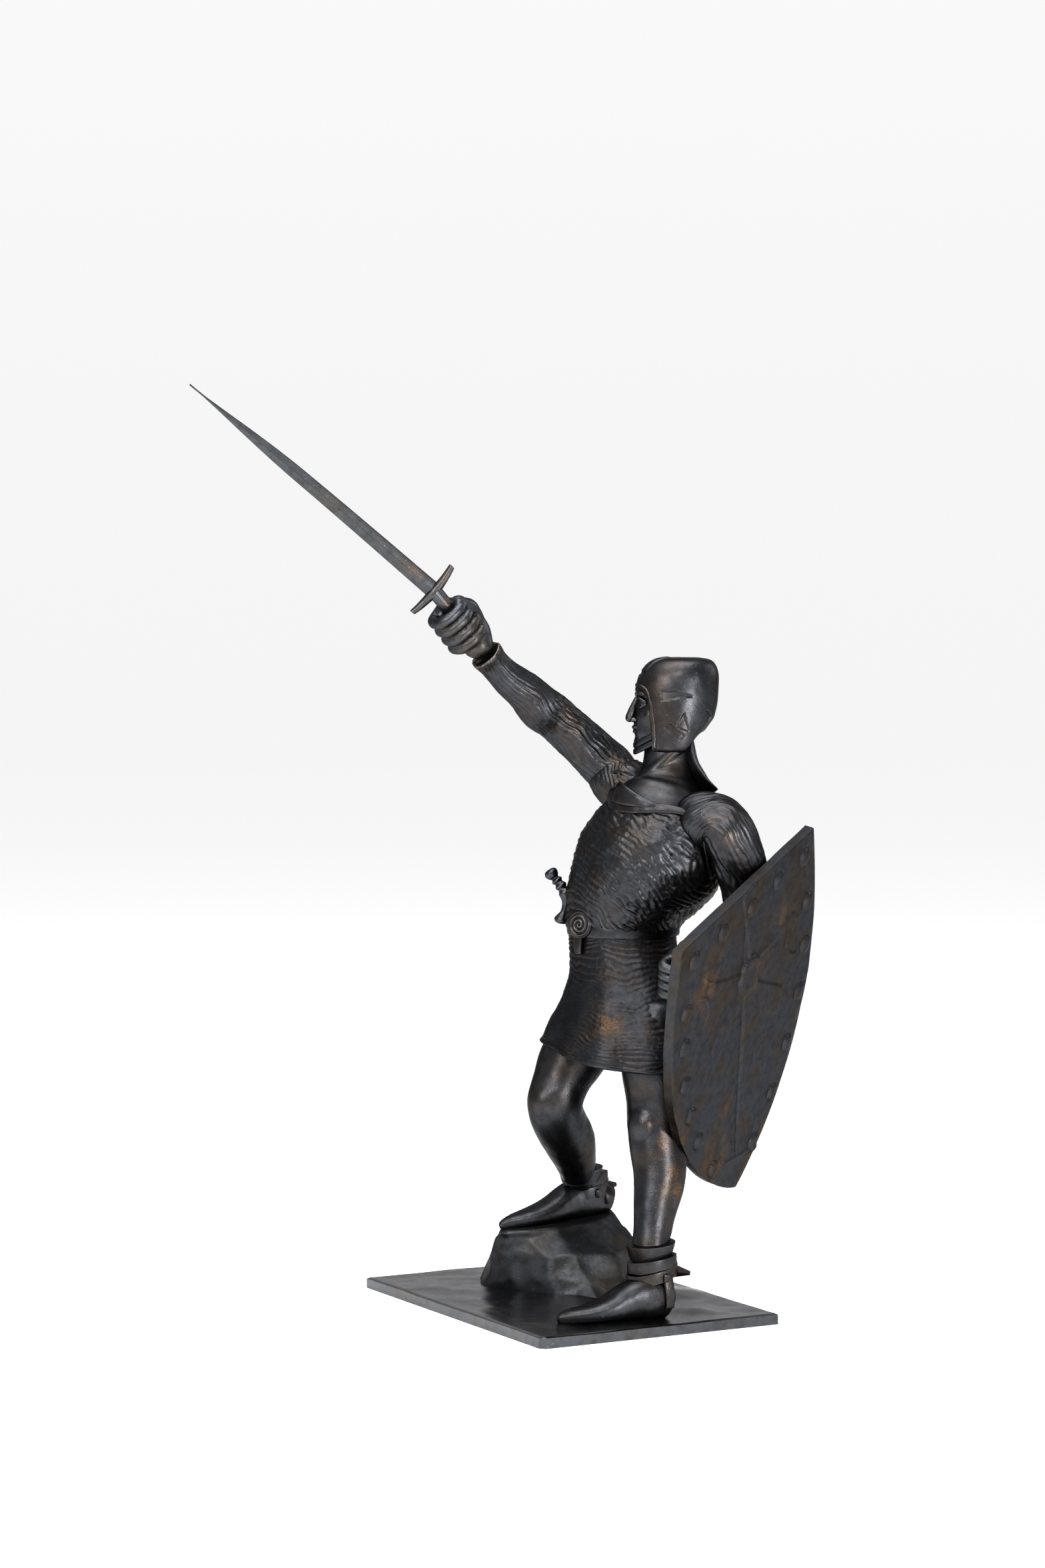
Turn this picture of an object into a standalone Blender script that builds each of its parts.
"""Bronze warrior statue: a mailed figure with a raised sword on a flat plinth with a rock.

Metres, +Z up. The origin is the centre of the plate's underside. The figure faces -Y,
its shield side is +X, and its raised sword arm points to -Y.
"""

import math

import bmesh
import bpy
from mathutils import Matrix, Vector

# Plinth
PLATE_WIDTH = 0.260
PLATE_DEPTH = 0.184
PLATE_THICKNESS = 0.008
PLATE_EDGE_ROUND = 0.0010
PLATE_CHIP = 0.0035

# Figure: its pose and modelling are in shares of its height, see at() below
FIGURE_HEIGHT = 0.446
FIGURE_SHARES = 446
FIGURE_CELL = FIGURE_HEIGHT / 240
FIGURE_KEEP = 0.042

# Lower edge of the helmet's cheek guards, where they start, and its climb to the nape, in shares
GUARD_FOOT = 380.5
GUARD_TOP = 404
GUARD_CLIMB = 13

# Shield
SHIELD_HEIGHT = 0.252
SHIELD_WIDTH = 0.183
SHIELD_THICKNESS = 0.007
SHIELD_EDGE_ROUND = 0.0010
RIVET_RADIUS = 0.0062
RIVET_RISE = 0.0018
RIVET_INSET = 0.0145
RIVET_TOP_INSET = 0.0175
RIVET_SPACING = 0.032
CROSS_RISE = 0.0012
RELIEF_ROOT = 0.002
BOSS_RADIUS = 0.0150
STRAP_LENGTH = 0.056
STRAP_WIDTH = 0.009

# Sword
BLADE_LENGTH = 0.218
BLADE_WIDTH = 0.0115
BLADE_THICKNESS = 0.0046
GUARD_LENGTH = 0.042
GRIP_LENGTH = 0.052
GRIP_RADIUS = 0.0050
POMMEL_LENGTH = 0.0080
GUARD_THICKNESS = 0.0072
GUARD_BEND = 0.0022
BLADE_BOW = 0.0009

# Dagger
DAGGER_BALL_RADIUS = 0.0047

# Space that touching pieces keep between them
CLEARANCE = 0.0003

# Sides of the blocks that flatten the soles
LEFT_CUT = 0.120
RIGHT_CUT = 0.105

SHARE = FIGURE_HEIGHT / FIGURE_SHARES
BRONZE = (0.045, 0.043, 0.042, 1.0)
WORN_BRONZE = (0.075, 0.062, 0.048, 1.0)


def at(x, y, z):
    """Give the place of a point stated in shares of the figure, from the plate's top centre."""
    return Vector((x, y, z)) * SHARE + Vector((0, 0, PLATE_THICKNESS))


# Where the other pieces meet the figure
SWORD_GUARD = at(-13.6, -96.6, 490.8)
SWORD_POINT = at(-57.4, -258.7, 629.0)
SWORD_GRIP_END = at(-14.6, -59.0, 451.5)
SWORD_EDGE = Vector((0.30, 0.35, 0.88))
SHIELD_TOP = at(135.5, 64.9, 290.5)
SHIELD_DOWN = Vector((-0.429, 0.226, -0.874)).normalized()
SHIELD_OUT = Vector((0.812, 0.521, -0.264))
SHIELD_OUT = (SHIELD_OUT - SHIELD_DOWN * SHIELD_OUT.dot(SHIELD_DOWN)).normalized()
SHIELD_ACROSS = SHIELD_DOWN.cross(SHIELD_OUT)
STRAP_PLACE = (123, 19, 232)
RIGHT_SOLE = at(-47, 20, 44.6)
RIGHT_SOLE_UP = Vector((0, -0.081, 1)).normalized()
LEFT_SOLE = at(96, -10, 0)
DAGGER_TOP = at(-13, -7.5, 297)
DAGGER_MIDDLE = at(-4.5, 1.5, 279)
DAGGER_FOOT = at(-6.5, -2.0, 259.5)


# Small tools

def new_collection(name):
    """Make a collection in the scene."""
    collection = bpy.data.collections.new(name)
    bpy.context.scene.collection.children.link(collection)
    return collection


def bronze(name, color, roughness):
    """Make the material of one piece."""
    material = bpy.data.materials.new(name)
    material.use_nodes = True
    shader = material.node_tree.nodes["Principled BSDF"]
    shader.inputs["Base Color"].default_value = color
    shader.inputs["Metallic"].default_value = 1.0
    shader.inputs["Roughness"].default_value = roughness
    material.diffuse_color = color
    return material


def smooth_step(value):
    """Ease a value from 0 to 1."""
    value = min(max(value, 0.0), 1.0)
    return value * value * (3 - 2 * value)


def spline(rows, steps):
    """Run a smooth curve through rows of numbers, with steps pieces between two rows."""
    rows = [tuple(map(float, row)) for row in rows]
    points = []
    for index in range(len(rows) - 1):
        before = rows[max(index - 1, 0)]
        start = rows[index]
        end = rows[index + 1]
        after = rows[min(index + 2, len(rows) - 1)]
        for step in range(steps):
            t = step / steps
            points.append(tuple(
                0.5 * (2 * b + (c - a) * t + (2 * a - 5 * b + 4 * c - d) * t ** 2
                       + (3 * b - a - 3 * c + d) * t ** 3)
                for a, b, c, d in zip(before, start, end, after)))
    points.append(rows[-1])
    return points


def face_outwards(mesh, weld=0.0):
    """Turn the faces of closed forms outwards, after welding doubled points."""
    shape = bmesh.new()
    shape.from_mesh(mesh)
    if weld:
        bmesh.ops.remove_doubles(shape, verts=shape.verts, dist=weld)
    bmesh.ops.recalc_face_normals(shape, faces=shape.faces)
    shape.to_mesh(mesh)
    shape.free()


class Clay:
    """Closed forms gathered to be joined into one body."""

    def __init__(self):
        self.points = []
        self.faces = []

    def skin(self, rings):
        """Add a closed form through rings of points, each ring closed and the ends capped."""
        first = len(self.points)
        count = len(rings[0])
        for ring in rings:
            self.points.extend(ring)
        for row in range(len(rings) - 1):
            for k in range(count):
                a = first + row * count + k
                b = first + row * count + (k + 1) % count
                self.faces.append((a, b, b + count, a + count))
        self.faces.append(tuple(first + k for k in reversed(range(count))))
        last = first + (len(rings) - 1) * count
        self.faces.append(tuple(last + k for k in range(count)))

    def limb(self, stations, front=(0, -1, 0), sides=16, steps=3, dome=0.8, square=2.0, form=None,
             level=False):
        """Add an oval body along a path.

        A station is (x, y, z, half width, half depth, turn) in shares of the figure. The
        depth lies along front, turned about the path by turn degrees. form may move a point:
        it gets the point, the angle round the section and the share of the way along. The
        sections stand square to the path, or lie level.
        """
        rows = spline([tuple(s) + (0,) * (6 - len(s)) for s in stations], steps)
        centres = [at(*row[:3]) for row in rows]
        rings = []
        last = len(rows) - 1
        for index, row in enumerate(rows):
            tangent = (centres[min(index + 1, last)] - centres[max(index - 1, 0)]).normalized()
            if level:
                tangent = Vector((0, 0, 1))
            ahead = Vector(front)
            side = tangent.cross(ahead).normalized()
            ahead = side.cross(tangent)
            spin = Matrix.Rotation(math.radians(row[5]), 3, tangent)
            side = spin @ side
            ahead = spin @ ahead
            caps = [(1.0, 0.0)]
            if dome and index in (0, last):
                arcs = [(math.cos(a), math.sin(a)) for a in (0.6, 1.15, 1.5)]
                reach = min(row[3], row[4]) * dome * (1 if index else -1)
                caps += [(c, s * reach) for c, s in arcs]
                if not index:
                    caps.reverse()
            for shrink, shift in caps:
                centre = centres[index] + tangent * shift * SHARE
                rings.append([self.section(centre, side, ahead, row[3] * shrink, row[4] * shrink,
                                           square, 2 * math.pi * k / sides, index / last, form)
                              for k in range(sides)])
        self.skin(rings)

    def section(self, centre, side, ahead, wide, deep, square, angle, along, form):
        """Give one point of an oval section."""
        c = math.copysign(abs(math.cos(angle)) ** (2 / square), math.cos(angle))
        s = math.copysign(abs(math.sin(angle)) ** (2 / square), math.sin(angle))
        point = centre + (side * wide * c + ahead * deep * s) * SHARE
        if form:
            point = form(point, angle, along)
        return point

    def ball(self, place, radii, front=(0, -1, 0), sides=14):
        """Add a rounded mass with the given half sizes across, ahead and up."""
        x, y, z = place
        across, ahead, up = radii
        rows = []
        for step in range(1, 8):
            lift = -math.cos(math.pi * step / 8)
            shrink = math.sin(math.pi * step / 8)
            rows.append((x, y, z + up * lift, across * shrink, ahead * shrink, 0))
        self.limb(rows, front, sides, steps=1, dome=0)

    def obj(self, name, collection):
        """Make one mesh object of the forms."""
        mesh = bpy.data.meshes.new(name)
        mesh.from_pydata([tuple(p) for p in self.points], [], self.faces)
        face_outwards(mesh)
        obj = bpy.data.objects.new(name, mesh)
        collection.objects.link(obj)
        return obj


def merge_forms(obj, cell, keep, rounds=2):
    """Weld overlapping forms into one skin, smooth it and thin its faces."""
    remesh = obj.modifiers.new("one skin", "REMESH")
    remesh.mode = "VOXEL"
    remesh.voxel_size = cell
    smooth = obj.modifiers.new("smooth", "SMOOTH")
    smooth.factor = 0.5
    smooth.iterations = rounds
    thin = obj.modifiers.new("thin", "DECIMATE")
    thin.ratio = keep


def boolean(obj, cutter, operation, overlapping=False):
    """Cut with or join another solid, whose own forms may be overlapping."""
    modifier = obj.modifiers.new(operation.lower(), "BOOLEAN")
    modifier.use_self = overlapping
    modifier.operation = operation
    modifier.solver = "EXACT"
    modifier.object = cutter
    cutter.hide_render = True
    cutter.display_type = "WIRE"


def solid_from_curve(curve_obj, collection):
    """Turn a flat outline or a rod into a welded mesh object."""
    depsgraph = bpy.context.evaluated_depsgraph_get()
    mesh = bpy.data.meshes.new_from_object(curve_obj.evaluated_get(depsgraph))
    face_outwards(mesh, weld=0.00001)
    name = curve_obj.name
    place = curve_obj.matrix_world.copy()
    bpy.data.objects.remove(curve_obj)
    obj = bpy.data.objects.new(name, mesh)
    obj.matrix_world = place
    collection.objects.link(obj)
    return obj


def flat_outline(name, corners, thickness, collection):
    """Make a slab of an outline in the XY plane, centred on Z = 0."""
    curve = bpy.data.curves.new(name, "CURVE")
    curve.dimensions = "2D"
    curve.fill_mode = "BOTH"
    curve.extrude = thickness / 2
    line = curve.splines.new("POLY")
    line.points.add(len(corners) - 1)
    for point, corner in zip(line.points, corners):
        point.co = (corner[0], corner[1], 0, 1)
    line.use_cyclic_u = True
    obj = bpy.data.objects.new(name, curve)
    collection.objects.link(obj)
    bpy.context.view_layer.update()
    return solid_from_curve(obj, collection)


def shield_frame():
    """Give the matrix of the shield: X across, Y up along it, Z out of its front face."""
    frame = Matrix((SHIELD_ACROSS, -SHIELD_DOWN, SHIELD_OUT)).transposed().to_4x4()
    if frame.determinant() < 0:
        frame = Matrix((-SHIELD_ACROSS, -SHIELD_DOWN, SHIELD_OUT)).transposed().to_4x4()
    return Matrix.Translation(SHIELD_TOP) @ frame


def shield_half_width(down):
    """Give half the shield's width at a share of the way down: nearly straight, then a point."""
    belly = 1.0 + 0.085 * math.sin(math.pi * min(down / 0.58, 1.0))
    taper = max(1.0 - max((down - 0.46) / 0.54, 0.0) ** 1.9, 0.0)
    return SHIELD_WIDTH / 2 * belly * taper ** 0.85


def shield_outline(grow):
    """List the shield's corners from top left, down to the tip and back up."""
    steps = [k / 20 for k in range(20)] + [0.965, 0.985]
    left = [(-shield_half_width(t) - grow, grow - t * (SHIELD_HEIGHT + grow)) for t in steps]
    right = [(-x, y) for x, y in reversed(left)]
    return left + [(0, -SHIELD_HEIGHT - grow)] + right


# The pieces of the figure

def model_legs(clay):
    """Model both legs in hose, with pointed shoes, ankle cuffs and spurs."""
    left = [(58, 38, 196, 23, 25), (65, 35.6, 164.6, 25.5, 26), (68.6, 34, 142, 23, 23),
            (71, 31, 124, 20.5, 21), (75, 29, 110, 19, 19.5), (78.8, 28.5, 97.4, 17.8, 19),
            (82.5, 25.5, 84.3, 16.4, 17.6), (86.2, 20.5, 70, 14.6, 15.3), (89.5, 16.6, 57, 13.2, 13.6),
            (92, 13.5, 47, 12.4, 12.6), (95.5, 11.5, 33, 12.2, 12.6), (97, 11, 14, 12, 13)]
    right = [(10, 26, 200, 21, 23), (6.5, 17.5, 188, 22.5, 24), (2.9, 2.5, 166, 22.6, 23),
             (3.5, -7, 149, 20, 20), (4, -11.5, 135, 19, 19.5), (-3.5, -4, 121.5, 18.5, 19),
             (-15.4, 10, 107, 17.5, 18.5), (-30, 23.4, 90.3, 14.8, 15.4), (-41, 32.6, 78, 12.3, 12.6),
             (-47.5, 41, 66, 11.8, 12.2), (-48, 45, 55, 11.5, 12.5)]
    clay.limb(left, sides=18)
    clay.limb(right, sides=18)
    clay.ball((73.5, 16.5, 126), (13, 8, 14))
    clay.ball((6.5, -23, 137), (12, 9, 13))
    clay.ball((82.5, 35, 95), (13, 9, 20))
    clay.ball((-13, 15, 104), (13, 8, 16), front=(-0.4, -0.6, 0.6))


def model_shoe(clay, heel, toe, sole_rise):
    """Model a low pointed shoe from the heel to the tip of the toe."""
    profile = [(-0.02, 7.5, 18), (0.10, 11.5, 27), (0.24, 13.2, 31), (0.38, 13.2, 26),
               (0.50, 13.8, 19), (0.64, 13.0, 13.5), (0.78, 10.0, 9.5), (0.90, 5.8, 6.2),
               (0.97, 3.0, 4.2), (1.0, 1.6, 3.0)]
    rows = []
    for share, wide, high in profile:
        x = heel[0] + (toe[0] - heel[0]) * share
        y = heel[1] + (toe[1] - heel[1]) * share
        z = heel[2] + (toe[2] - heel[2]) * share
        rows.append((x, y, z + high / 2 - sole_rise, wide, high / 2 + sole_rise))
    clay.limb(rows, front=(0, 0, 1), sides=18, steps=2, dome=0.5, square=2.5)


def model_spur(clay, ankle, collar, tip, band):
    """Model the ankle bands and the pointed spur behind them."""
    x, y, z = ankle
    over = Vector(collar)
    upper = [tuple(over - Vector((0, 0, 3))) + (band, band + 0.6),
             tuple(over + Vector((0, 0, 3))) + (band + 1.2, band + 1.8)]
    lower = [(x, y, z - 7, band + 1.0, band + 2.0), (x, y, z + 9, band + 0.4, band + 1.2)]
    clay.limb(upper, dome=0.1, steps=1)
    clay.limb(lower, dome=0.1, steps=1)
    base = (x, y + band - 2, z + 2)
    clay.limb([base + (5.5, 5.5), tip + (1.0, 1.0)], front=(0, 0, 1), sides=4, steps=2, dome=0.3)


def model_tunic(clay):
    """Model the mail tunic: skirt, chest bloused over the belt, and the open neckline."""

    def hem(point, angle, along):
        folds = 2.2 * math.cos(5 * angle + 0.6) * (1 - along) ** 1.5
        out = Vector((math.cos(angle), -math.sin(angle), 0))
        slope = -0.14 * (point.x - at(31, 0, 0).x) * (1 - along)
        return point + out * folds * SHARE + Vector((0, 0, slope))

    skirt = [(34, 25.5, 175, 60, 52.5, 6), (33, 27.2, 188, 57.5, 49, 6),
             (29, 31.5, 204, 50.5, 43, 6), (23.5, 34.7, 223, 43, 38.6, 6),
             (18.2, 34.9, 247, 39.6, 36.6, 6), (18, 34.8, 259, 39.8, 37.2, 6)]
    clay.limb(skirt, sides=40, steps=3, dome=0, form=hem, level=True)
    chest = [(18.5, 35.1, 256, 38, 37.5, 8), (19.3, 36.3, 262, 43.5, 41, 8), (23, 40, 271, 49, 45.2, 9),
             (28, 44.6, 284, 54, 51, 10), (33.5, 45.6, 300, 54, 50.2, 11), (38.5, 46.3, 321, 51.5, 46.3, 12),
             (41, 48.5, 337, 46, 40, 13), (42, 51.5, 349, 37, 31, 13), (43, 54, 357, 26, 24, 13)]
    clay.limb(chest, sides=32, steps=3, dome=0.15, level=True)


def model_belt(clay):
    """Model the belt with its round buckle."""
    belt = [(18.2, 34.3, 253.5, 40.8, 38.8, 6), (18.1, 34.5, 259, 40.8, 38.8, 6)]
    plate = [(24, 2, 261, 9.2, 9.2), (25.5, -5, 261.5, 9.2, 9.2)]
    knob = [(24, 0, 261, 3.4, 3.4), (25.8, -7.2, 261.5, 3.4, 3.4)]
    clay.limb(belt, sides=40, steps=1, dome=0.03, level=True)
    clay.limb(plate, front=(0, 0, 1), sides=18, steps=1, dome=0.2)
    clay.limb(knob, front=(0, 0, 1), sides=12, steps=1, dome=0.5)


def model_neck(clay):
    """Model the neck, the raised collar and the neck flap."""
    clay.limb([(43, 50, 338, 40, 34), (43, 51.5, 346, 34, 30), (42.5, 54, 354, 23.5, 23.5),
               (41.5, 56, 364, 17.5, 18.5), (40.5, 59, 392, 16.5, 18)], sides=20)
    collar = [(9.5, 44, 352), (14, 30, 348), (27, 20.5, 343), (42, 16.5, 340), (57, 19.5, 338.5),
              (70, 27, 339), (80, 38, 342), (86, 50, 347)]
    clay.limb([row + (3.2, 2.6) for row in collar], front=(0, 0, 1), sides=8, steps=2)
    flap = [(48, 67, 384, 11, 4), (49.5, 69.5, 369, 14, 4), (52, 74, 357, 19, 3.4), (54.5, 80, 349.5, 22, 2.6)]
    clay.limb(flap, front=(0.2, 1, 0), sides=16, steps=3)


def model_head(clay):
    """Model the head and its close helmet with cheek guards and chin strap."""
    turn = Matrix.Rotation(math.radians(-24), 3, "Z")
    middle = Vector((41, 63, 0))

    def head(across, ahead, up):
        place = middle + turn @ Vector((across, -ahead, 0))
        return (place.x, place.y, up)

    front = tuple(turn @ Vector((0, -1, 0)))

    def opening(point, angle, along):
        local = turn.inverted() @ (point - at(middle.x, middle.y, 0))
        up = (point.z - PLATE_THICKNESS) / SHARE
        reach = (15 + 15 * smooth_step((up - 410) / 14)) * SHARE
        local.y = max(local.y, -reach)
        point = turn @ local + at(middle.x, middle.y, 0)
        # The lower edge climbs from the cheek guards to the nape
        climb = GUARD_CLIMB * smooth_step((local.y / SHARE - 2) / 16)
        if up < GUARD_TOP:
            point.z += climb * (GUARD_TOP - up) / (GUARD_TOP - GUARD_FOOT) * SHARE
        return point

    rows = [(0, 2.2, GUARD_FOOT, 20.5, 19.5), (0, 1.6, 384, 22.6, 22), (0, 1.0, 390, 23.4, 24),
            (0, 0, 400, 24, 26), (0, -0.5, 412, 24.5, 28.5),
            (0, -1.5, 424, 24.5, 28.5), (0, -3, 434, 22.5, 26), (0, -5, 441, 18.5, 20.5),
            (0, -6, 445, 13, 15)]
    clay.limb([head(*row[:3]) + row[3:] for row in rows], front, sides=28, steps=3, dome=0.05,
              form=opening, level=True)
    band = [(0, 9, 444.5, 3.0, 2.0), (0, 19, 438.5, 3.0, 2.2), (0, 25, 430, 3.2, 2.4), (0, 27.5, 421, 2.8, 2)]
    clay.limb([head(*row[:3]) + row[3:] for row in band], front, sides=8, steps=2)
    face = [(0, 10, 384, 8, 10), (0, 9.5, 390, 13.5, 18), (0, 8, 400, 17.5, 21), (0, 6, 412, 19.5, 22),
            (0, 4, 424, 20, 22.5)]
    clay.limb([head(*row[:3]) + row[3:] for row in face], front, sides=24, steps=3, level=True)
    nose = [(0, 26.5, 415, 2.6, 3), (0, 30.5, 406, 3.0, 3.4), (0, 30.5, 402, 4.0, 3.2)]
    clay.limb([head(*row[:3]) + row[3:] for row in nose], front, sides=8, steps=2)
    for side in (-1, 1):
        strap = [(20 * side, 12, 396, 1.4, 4.2), (17 * side, 19, 391, 1.4, 4.2),
                 (9 * side, 25, 386, 1.4, 4.2), (0, 27, 384, 1.4, 4.2)]
        clay.limb([head(*row[:3]) + row[3:] for row in strap], (0, 0, 1), sides=8, steps=2)


def model_arms(clay):
    """Model the raised sword arm and the bent shield arm in their sleeves."""
    raised = [(8.7, 50.9, 350.1, 20.5, 20.5), (-2.9, 43, 358.2, 19.7, 19.7),
              (-9.6, 39.9, 367, 18, 18), (-14.4, 31.8, 375.9, 17.3, 17.3),
              (-17.9, 18.2, 389.6, 15.9, 15.9), (-20.1, 2.8, 402.3, 15.4, 15.4),
              (-20.5, -9.8, 410.8, 15.8, 15.8), (-21.3, -20.8, 420.8, 13.9, 13.9),
              (-21.8, -33.4, 429.6, 12.3, 12.3), (-21.2, -44, 438.6, 10.9, 10.9),
              (-20.1, -53.8, 447.7, 10.8, 10.8)]
    clay.limb(raised, front=(1, 0, 0), sides=18, dome=0.3)
    bent = [(82, 58, 334, 20, 19), (95, 65, 333, 18.5, 18), (101, 70.5, 324, 18.6, 18.5),
            (98, 79, 307.3, 18.6, 18.4), (92, 88.5, 288, 17.2, 17.2), (86, 93.5, 268.6, 15.2, 15.4),
            (86, 89, 255, 13.6, 13.8), (96, 70, 245, 12.4, 12.4), (107, 50, 239, 11.2, 11.2),
            (114, 36, 236, 10, 10)]
    clay.limb(bent, front=(1, 0, 0), sides=18, dome=0.4)


def model_fist(clay, grip, axis, knuckle, back, wrist, scale=1.0):
    """Model a closed fist round a grip, with four fingers and a thumb."""
    def place(along, out, behind):
        spot = Vector(grip) + (axis * along + knuckle * out + back * behind) * scale
        return tuple(spot)

    def thick(wide, deep):
        return (wide * scale, deep * scale)

    for index in range(4):
        along = 12.0 - 8.0 * index
        arc = [(-2, 9.5), (7, 9.5), (12.5, 3), (11.5, -5), (4, -9.8), (-4.5, -10)]
        rows = [place(along, out, behind) + thick(4.3, 4.3) for out, behind in arc]
        clay.limb(rows, tuple(axis), sides=8, steps=2)
    palm = [place(12, -3, 7), place(-14, -3, 7)]
    clay.limb([palm[0] + thick(11, 6), palm[1] + thick(12, 7)], tuple(back), sides=12, steps=2)
    heel = place(-12, -9, 0)
    clay.limb([place(10, -10, 0) + thick(6, 7), heel + thick(8, 9), tuple(wrist) + thick(9.5, 9.5)],
              tuple(back), sides=12, steps=3)
    thumb = [place(-8, -12, -3) + thick(5, 5), place(4, -11, -7) + thick(4.6, 4.6),
             place(14, -6, -9) + thick(3.8, 3.8)]
    clay.limb(thumb, tuple(axis), sides=8, steps=2)


def model_hands(clay):
    """Model the two fists: one on the sword's grip, one on the shield's strap."""
    grip = Vector((-15.5, -77, 469))
    axis = Vector((0.10, -0.69, 0.72)).normalized()
    back = Vector((-0.95, -0.25, -0.15))
    back = (back - axis * back.dot(axis)).normalized()
    knuckle = back.cross(axis)
    if knuckle.z > 0:
        knuckle = -knuckle
    model_fist(clay, grip, axis, knuckle, back, Vector((-18.5, -60, 453)))
    axis = -SHIELD_DOWN
    knuckle = Vector((0.10, -1.0, -0.10))
    knuckle = (knuckle - axis * knuckle.dot(axis)).normalized()
    wrist = Vector(STRAP_PLACE) + Vector((-9, 17, 4))
    model_fist(clay, Vector(STRAP_PLACE), axis, knuckle, SHIELD_OUT, wrist, scale=0.88)


def make_warrior(collection, cutters):
    """Make the whole cast figure as one solid."""
    clay = Clay()
    model_legs(clay)
    model_shoe(clay, (102, 19, 0), (89, -56, 0), 1.0)
    model_shoe(clay, (-47, 58, 47.7), (-50.5, -25, 41), 1.0)
    model_spur(clay, (95.5, 12, 28), (93.5, 12.5, 44), (103, 38, 27.5), 13.0)
    model_spur(clay, (-48, 42, 64), (-42, 34, 77), (-45, 66, 66.5), 12.4)
    model_tunic(clay)
    model_belt(clay)
    model_neck(clay)
    model_head(clay)
    model_arms(clay)
    model_hands(clay)
    warrior = clay.obj("warrior", collection)
    merge_forms(warrior, FIGURE_CELL, FIGURE_KEEP)
    for cutter in cutters:
        boolean(warrior, cutter, "DIFFERENCE")
    warrior.data.materials.append(bronze("warrior bronze", BRONZE, 0.38))
    return warrior


def sole_cutter(name, place, up, size, collection):
    """Make a block below a sole, leaving the clearance above the surface it stands on."""
    bpy.ops.mesh.primitive_cube_add(size=size)
    block = bpy.context.object
    block.name = name
    turn = Vector((0, 0, 1)).rotation_difference(up)
    block.rotation_mode = "QUATERNION"
    block.rotation_quaternion = turn
    block.location = place + up * (CLEARANCE - size / 2)
    for holder in block.users_collection:
        holder.objects.unlink(block)
    collection.objects.link(block)
    return block


# Plinth

def make_base(collection, guides):
    """Make the plate with the rock under the raised foot, cast in one."""
    half_x = PLATE_WIDTH / 2
    half_y = PLATE_DEPTH / 2
    corners = [(-half_x, -half_y), (half_x - PLATE_CHIP, -half_y), (half_x, -half_y + PLATE_CHIP),
               (half_x, half_y), (-half_x, half_y)]
    plate = flat_outline("base_plate", corners, PLATE_THICKNESS, collection)
    plate.location = (0, 0, PLATE_THICKNESS / 2)
    edge = plate.modifiers.new("worn edge", "BEVEL")
    edge.width = PLATE_EDGE_ROUND
    edge.segments = 2
    rock = make_rock(guides)
    boolean(plate, rock, "UNION")
    plate.data.materials.append(bronze("base bronze", BRONZE, 0.3))
    return plate


def make_rock(collection):
    """Model the rough rock: corners at the foot of it and on its flat top."""
    foot = [(-66, -34), (-34, -22), (-4, -4), (17, 14), (30, 44), (22, 74), (-20, 84), (-62, 86),
            (-92, 62), (-98, 14), (-88, -24)]
    top = [(-51, -25), (-40, -28), (-31, -16), (-24, 6), (-23, 28), (-28, 46), (-38, 60), (-54, 66),
           (-64, 56), (-66, 18), (-61, -17)]
    levels = [(0.0, 0.0, 1.02), (0.28, 0.30, 1.0), (0.62, 0.50, 1.0), (0.86, 0.82, 1.0), (1.0, 1.0, 1.0)]
    rings = []
    for number, (rise, inward, spread) in enumerate(levels):
        ring = []
        for index, (low, high) in enumerate(zip(foot, top)):
            rough = 2.2 * math.sin(2.3 * index + 1.7 * number) * (1 if 0 < number < 4 else 0)
            x = low[0] * spread + (high[0] - low[0] * spread) * inward
            y = low[1] * spread + (high[1] - low[1] * spread) * inward
            point = at(x + rough, y + rough, 0)
            surface = RIGHT_SOLE.z - (point.y - RIGHT_SOLE.y) * RIGHT_SOLE_UP.y / RIGHT_SOLE_UP.z
            bottom = PLATE_THICKNESS / 2
            point.z = bottom + (surface - bottom) * rise
            ring.append(point)
        rings.append(ring)
    clay = Clay()
    clay.skin(rings)
    return clay.obj("rock", collection)


# Shield

def strap_bar(name, grow, collection):
    """Model the hand strap: a bent bar standing off the shield's back, grown by a clearance."""
    middle = at(*STRAP_PLACE)
    lift = (SHIELD_TOP - middle).dot(SHIELD_OUT) - SHIELD_THICKNESS
    half = STRAP_LENGTH / 2
    foot = -lift - SHIELD_THICKNESS / 2
    route = [(-half, foot), (-half * 0.95, -0.35 * lift), (-half * 0.72, 0.0), (0.0, 0.0),
             (half * 0.72, 0.0), (half * 0.95, -0.35 * lift), (half, foot)]
    path = [middle - SHIELD_DOWN * along - SHIELD_OUT * out for along, out in route]
    rings = []
    for index, centre in enumerate(path):
        before = path[max(index - 1, 0)]
        after = path[min(index + 1, len(path) - 1)]
        tangent = (after - before).normalized()
        side = SHIELD_ACROSS
        ahead = tangent.cross(side).normalized()
        size = STRAP_WIDTH / 2 + grow
        rings.append([centre + side * size * math.cos(2 * math.pi * k / 10)
                      + ahead * size * math.sin(2 * math.pi * k / 10) for k in range(10)])
    clay = Clay()
    clay.skin(rings)
    return clay.obj(name, collection)


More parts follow.
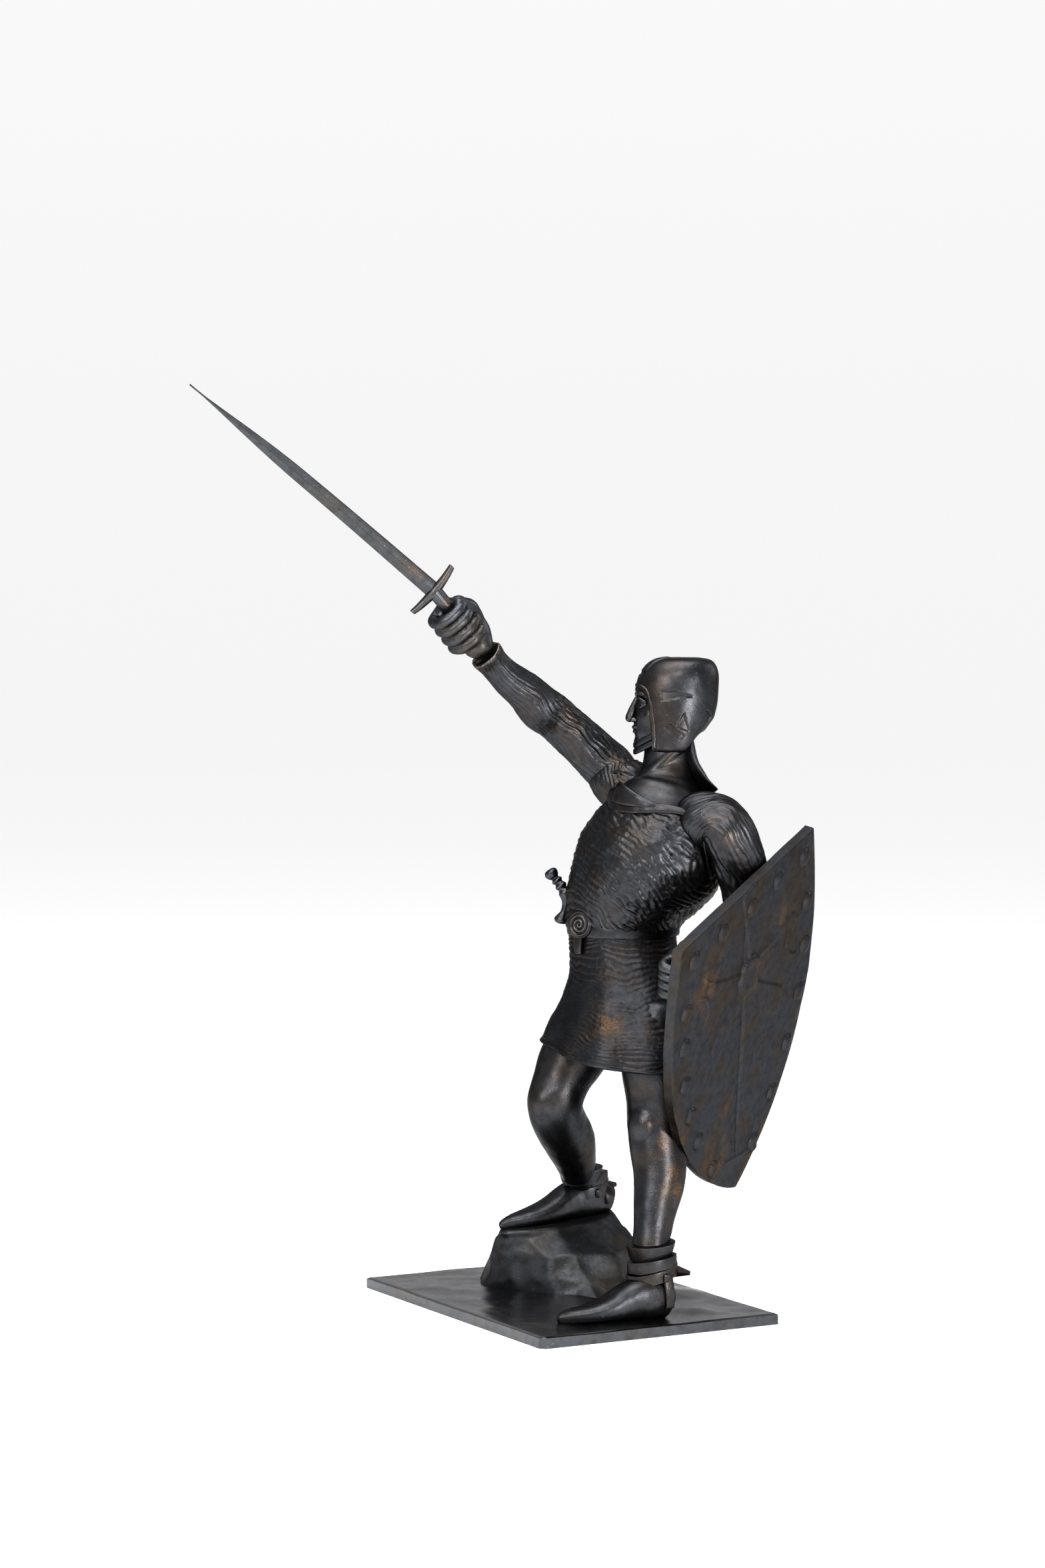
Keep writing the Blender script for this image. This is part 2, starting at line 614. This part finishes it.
def make_shield(collection, guides):
    """Make the heater shield with rivets, a cross in low relief, a boss and a hand strap."""
    frame = shield_frame()
    slab = flat_outline("shield", shield_outline(0.0), SHIELD_THICKNESS, collection)
    slab.matrix_world = frame @ Matrix.Translation((0, 0, -SHIELD_THICKNESS / 2))
    edge = slab.modifiers.new("soft edge", "BEVEL")
    edge.width = SHIELD_EDGE_ROUND
    edge.segments = 1
    edge.limit_method = "ANGLE"
    relief = make_shield_relief(guides)
    relief.matrix_world = frame
    boolean(slab, relief, "UNION", overlapping=True)
    boolean(slab, strap_bar("strap", 0.0, guides), "UNION")
    slab.data.materials.append(bronze("shield bronze", WORN_BRONZE, 0.35))
    return slab


def dome(clay, x, y, radius, rise, sides=8):
    """Add a low dome standing on the shield's face, with its foot sunk below it."""
    rings = []
    for shrink, height in ((1.0, -RELIEF_ROOT), (0.98, 0.1 * rise), (0.72, 0.7 * rise), (0.2, rise)):
        rings.append([Vector((x + radius * shrink * math.cos(2 * math.pi * k / sides),
                              y + radius * shrink * math.sin(2 * math.pi * k / sides), height))
                      for k in range(sides)])
    clay.skin(rings)


def arm(clay, x, y, angle, length, root, end, rise):
    """Add a flared arm of the cross from a point on the face."""
    along = Vector((math.cos(angle), math.sin(angle), 0))
    aside = Vector((-along.y, along.x, 0))
    start = Vector((x, y, 0))
    rings = []
    for share in (0.0, 0.35, 0.7, 1.0):
        half = root + (end - root) * share ** 2
        centre = start + along * length * share
        top = rise * (1 - 0.35 * share)
        foot = Vector((0, 0, -RELIEF_ROOT))
        crest = Vector((0, 0, top))
        rings.append([centre + aside * half + foot, centre + aside * half * 0.8 + crest,
                      centre - aside * half * 0.8 + crest, centre - aside * half + foot])
    clay.skin(rings)


def make_shield_relief(collection):
    """Gather what stands on the shield's face and the strap behind it."""
    clay = Clay()
    for k in range(5):
        x = (k - 2) / 2 * (SHIELD_WIDTH / 2 - RIVET_INSET)
        dome(clay, x, -RIVET_TOP_INSET, RIVET_RADIUS, RIVET_RISE)
    down = RIVET_TOP_INSET + RIVET_SPACING
    while down < SHIELD_HEIGHT - RIVET_INSET:
        half = shield_half_width(down / SHIELD_HEIGHT) - RIVET_INSET
        for side in (-1, 1):
            dome(clay, side * half, -down, RIVET_RADIUS, RIVET_RISE)
        down += RIVET_SPACING
    centre = -0.27 * SHIELD_HEIGHT
    dome(clay, 0, centre, BOSS_RADIUS, CROSS_RISE * 2.2, 20)
    reach = SHIELD_WIDTH * 0.36
    for angle, length, end in ((90, 0.20 * SHIELD_HEIGHT, 0.011), (0, reach, 0.014), (180, reach, 0.014),
                               (270, 0.60 * SHIELD_HEIGHT, 0.008)):
        arm(clay, 0, centre, math.radians(angle), length, 0.0035, end, CROSS_RISE)
    return clay.obj("shield relief", collection)


# Sword

def sword_axes():
    """Give the blade's direction, its width direction and its flat side's direction."""
    axis = (SWORD_POINT - SWORD_GUARD).normalized()
    across = SWORD_EDGE - axis * SWORD_EDGE.dot(axis)
    across.normalize()
    return axis, across, axis.cross(across)


def sword_bar(name, grow, collection):
    """Model pommel, grip and blade as one bar, grown by a clearance."""
    axis, across, flat = sword_axes()
    grip_axis = (SWORD_GUARD - SWORD_GRIP_END).normalized()
    pommel = SWORD_GUARD - grip_axis * GRIP_LENGTH
    collar = POMMEL_LENGTH / 2
    turned = ((-collar - grow, 0.6), (-0.7 * collar - grow, 1.0), (0.5 * collar, 1.0), (0.8 * collar, 0.82),
              (1.2 * collar, 0.82), (1.6 * collar, 1.0), (0.3 * GRIP_LENGTH, 0.92),
              (0.75 * GRIP_LENGTH, 1.0), (0.97 * GRIP_LENGTH, 1.05))
    rings = []
    for along, share in turned:
        radius = GRIP_RADIUS * share + grow
        rings.append(bar_section(pommel + grip_axis * along, across, flat, radius, radius, 1.0))
    for share in (0.0, 0.02, 0.1, 0.25, 0.4, 0.55, 0.7, 0.84, 0.94, 0.985, 1.0):
        taper = 1 - 0.30 * share - 0.68 * smooth_step((share - 0.55) / 0.45) * share
        wide = max(BLADE_WIDTH / 2 * taper, 0.05 * BLADE_WIDTH) + grow
        thick = BLADE_THICKNESS / 2 * (1 - 0.75 * share) + grow
        bow = across * BLADE_BOW * math.sin(math.pi * share)
        centre = SWORD_GUARD + axis * BLADE_LENGTH * share + bow
        rings.append(bar_section(centre, across, flat, wide, thick, 0.72))
    clay = Clay()
    clay.skin(rings)
    return clay.obj(name, collection)


def guard_bar(name, grow, collection):
    """Model the guard, thinner and bent a little forward towards its ends, grown by a clearance."""
    axis, across, flat = sword_axes()
    rings = []
    for share in (-1, -0.92, -0.4, 0, 0.4, 0.92, 1):
        thick = GUARD_THICKNESS / 2 * (1 - 0.42 * abs(share)) + grow
        end = GUARD_LENGTH / 2 + (grow if abs(share) == 1 else 0)
        centre = SWORD_GUARD + across * share * end + axis * GUARD_BEND * share ** 2
        rings.append(bar_section(centre, axis, flat, thick, thick * 1.15, 1.0))
    clay = Clay()
    clay.skin(rings)
    return clay.obj(name, collection)


def make_sword(collection, guides):
    """Make the sword: pommel, grip and blade in one bar, with the guard across it."""
    sword = sword_bar("sword", 0.0, collection)
    boolean(sword, guard_bar("guard", 0.0, guides), "UNION")
    sword.data.materials.append(bronze("sword bronze", BRONZE, 0.33))
    return sword


def bar_section(centre, across, flat, wide, thick, fullness):
    """Give an eight-sided section, sharper towards its edges when fullness is below 1."""
    ring = []
    for k in range(8):
        angle = math.pi * k / 4
        corner = 1.0 if k % 2 == 0 else fullness
        spoke = across * wide * math.cos(angle) + flat * thick * math.sin(angle)
        ring.append(centre + spoke * corner)
    return ring


# Dagger

DAGGER_SIDES = 14
DAGGER_PROFILE = ((0.00, 0.35), (0.04, 0.80), (0.10, 1.0), (0.16, 0.80), (0.20, 0.50), (0.24, 0.80),
                  (0.28, 0.55), (0.33, 0.85), (0.38, 0.60), (0.44, 0.85), (0.52, 0.75), (0.64, 0.45),
                  (0.76, 0.42), (0.82, 0.70), (0.90, 1.0), (0.97, 0.75), (1.00, 0.35))


def dagger_body(name, grow, collection):
    """Model the turned hilt that hangs at the right hip, grown by a clearance."""
    path = spline([tuple(DAGGER_TOP), tuple(DAGGER_MIDDLE), tuple(DAGGER_FOOT)], 20)
    path = [Vector(point) for point in path]
    rings = []
    for share, radius in DAGGER_PROFILE:
        index = min(int(share * (len(path) - 1)), len(path) - 2)
        tangent = (path[index + 1] - path[index]).normalized()
        side = tangent.cross(Vector((0, -1, 0))).normalized()
        ahead = side.cross(tangent)
        centre = path[index].lerp(path[index + 1], share * (len(path) - 1) - index)
        centre += tangent * grow * (2 * share - 1)
        size = DAGGER_BALL_RADIUS * radius + grow
        angles = [2 * math.pi * k / DAGGER_SIDES for k in range(DAGGER_SIDES)]
        rings.append([centre + (side * math.cos(a) + ahead * math.sin(a)) * size for a in angles])
    clay = Clay()
    clay.skin(rings)
    return clay.obj(name, collection)


def shield_cutter(collection):
    """Make the room for the shield, grown by the clearance."""
    thickness = SHIELD_THICKNESS + 2 * CLEARANCE
    slab = flat_outline("shield room", shield_outline(CLEARANCE), thickness, collection)
    slab.matrix_world = shield_frame() @ Matrix.Translation((0, 0, -SHIELD_THICKNESS / 2))
    return slab


def main():
    """Clear the scene and build the statue."""
    for obj in list(bpy.data.objects):
        bpy.data.objects.remove(obj)
    statue = new_collection("bronze_warrior_statue")
    guides = new_collection("guides")
    make_base(statue, guides)
    make_shield(statue, guides)
    make_sword(statue, guides)
    dagger = dagger_body("dagger", 0.0, statue)
    dagger.data.materials.append(bronze("dagger bronze", BRONZE, 0.3))
    cutters = [sole_cutter("left sole room", LEFT_SOLE, Vector((0, 0, 1)), LEFT_CUT, guides),
               sole_cutter("right sole room", RIGHT_SOLE, RIGHT_SOLE_UP, RIGHT_CUT, guides),
               sword_bar("sword room", CLEARANCE, guides), guard_bar("guard room", CLEARANCE, guides),
               shield_cutter(guides), strap_bar("strap room", CLEARANCE, guides),
               dagger_body("dagger room", CLEARANCE, guides)]
    make_warrior(statue, cutters)


main()
